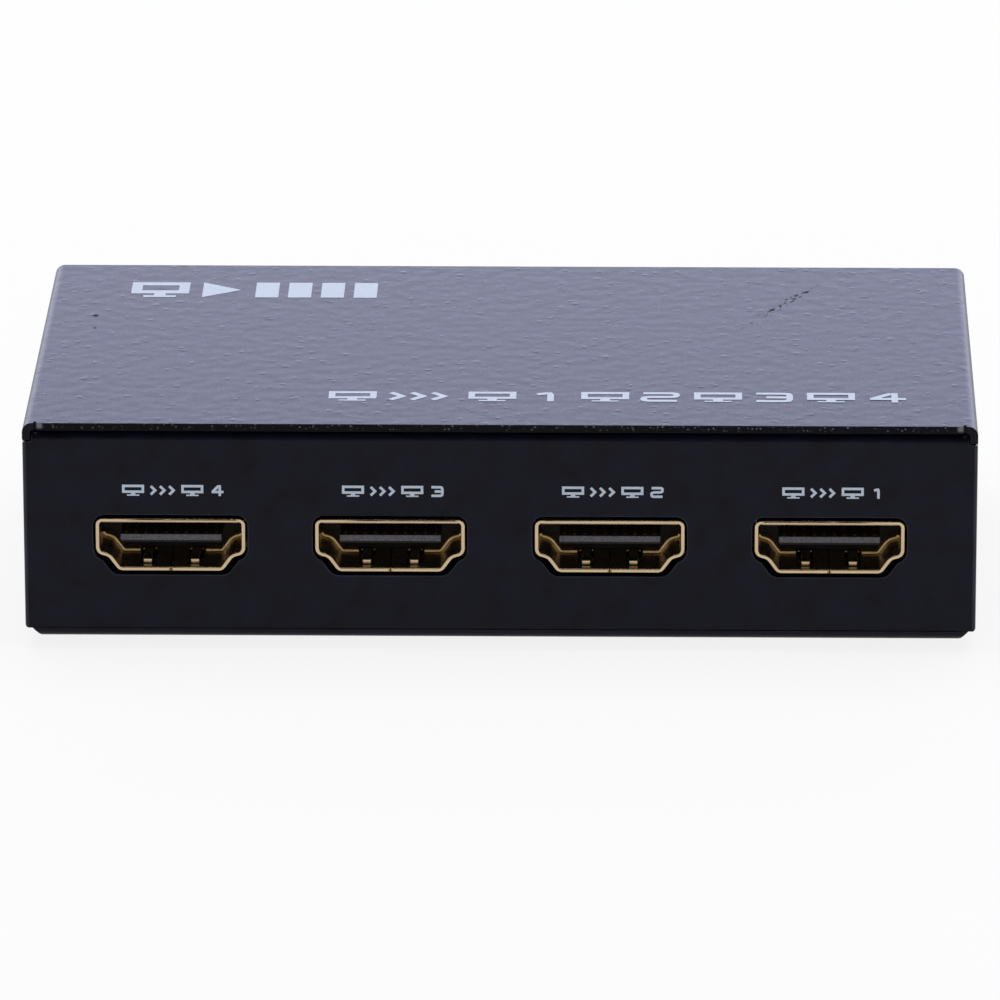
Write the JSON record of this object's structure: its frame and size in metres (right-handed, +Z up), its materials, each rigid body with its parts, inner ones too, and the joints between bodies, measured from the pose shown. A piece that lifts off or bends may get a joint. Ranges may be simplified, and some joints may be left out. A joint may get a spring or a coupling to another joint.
{
  "type": "video splitter box",
  "caption": "Flat black sheet-steel box that copies one video input to several outputs, with gold-lined sockets along the front and power and input at the rear.",
  "frame": {"origin": "middle of the box's outline, on the plane the feet stand on", "axes": "+X to the right seen from the front, +Y to the rear, +Z up; the outputs face -Y"},
  "size_m": [0.095, 0.054, 0.0237],
  "materials": {
    "black_paint": "satin powder coat",
    "plated_steel": "bright zinc",
    "board_green": "solder mask",
    "gold_plate": "satin gold plate",
    "contact_gold": "bright gold plate",
    "socket_black": "moulded",
    "black_plastic": "moulded",
    "tinned_metal": "tin plate",
    "brown_board": "phenolic",
    "slider_black": "moulded",
    "red_lens": "tinted",
    "green_lens": "tinted",
    "chip_black": "moulded",
    "pad_blue": "soft",
    "aluminium": "extruded",
    "bright_can": "drawn can",
    "ferrite": "sintered",
    "ceramic_tan": "ceramic",
    "rubber": "matt"
  },
  "bodies": {
    "case": {"bottom_tray": "black_paint", "board_standoffs": "plated_steel", "clinch_nuts": "plated_steel", "circuit_board": "board_green", "board_screws": "plated_steel", "output_1_shell": "gold_plate", "output_1_insulator": "socket_black", "output_1_contacts": "contact_gold", "output_2_shell": "gold_plate", "output_2_insulator": "socket_black", "output_2_contacts": "contact_gold", "output_3_shell": "gold_plate", "output_3_insulator": "socket_black", "output_3_contacts": "contact_gold", "output_4_shell": "gold_plate", "output_4_insulator": "socket_black", "output_4_contacts": "contact_gold", "input_shell": "gold_plate", "input_insulator": "socket_black", "input_contacts": "contact_gold", "dc_jack_body": "black_plastic", "dc_jack_pin": "tinned_metal", "dc_jack_spring": "tinned_metal", "dc_jack_shunt": "tinned_metal", "switch_base": "brown_board", "switch_lugs": "tinned_metal", "switch_frame": "plated_steel", "lamp_holders": "black_plastic", "power_lamp": "red_lens", "channel_lamps": "green_lens", "lamp_leads": "tinned_metal", "splitter_chip": "chip_black", "splitter_leads": "tinned_metal", "thermal_pad": "pad_blue", "heat_sink": "aluminium", "memory_chip": "chip_black", "memory_leads": "tinned_metal", "regulator_body": "chip_black", "regulator_leads": "tinned_metal", "crystal": "bright_can", "capacitor_bases": "black_plastic", "capacitor_cans": "aluminium", "power_inductor": "ferrite", "input_diode": "chip_black", "surge_arrays": "chip_black", "chip_resistors": "chip_black", "chip_capacitors": "ceramic_tan", "top_cover": "black_paint", "cover_screws": "black_paint", "rubber_feet": "rubber"},
    "slider": {"switch_slider": "slider_black", "switch_wiper": "contact_gold"}
  },
  "joints": [
    {"name": "power_slide", "type": "slide", "parent": "case", "child": "slider", "axis": [1, 0, 0], "range_m": [0, 0.002]}
  ]
}
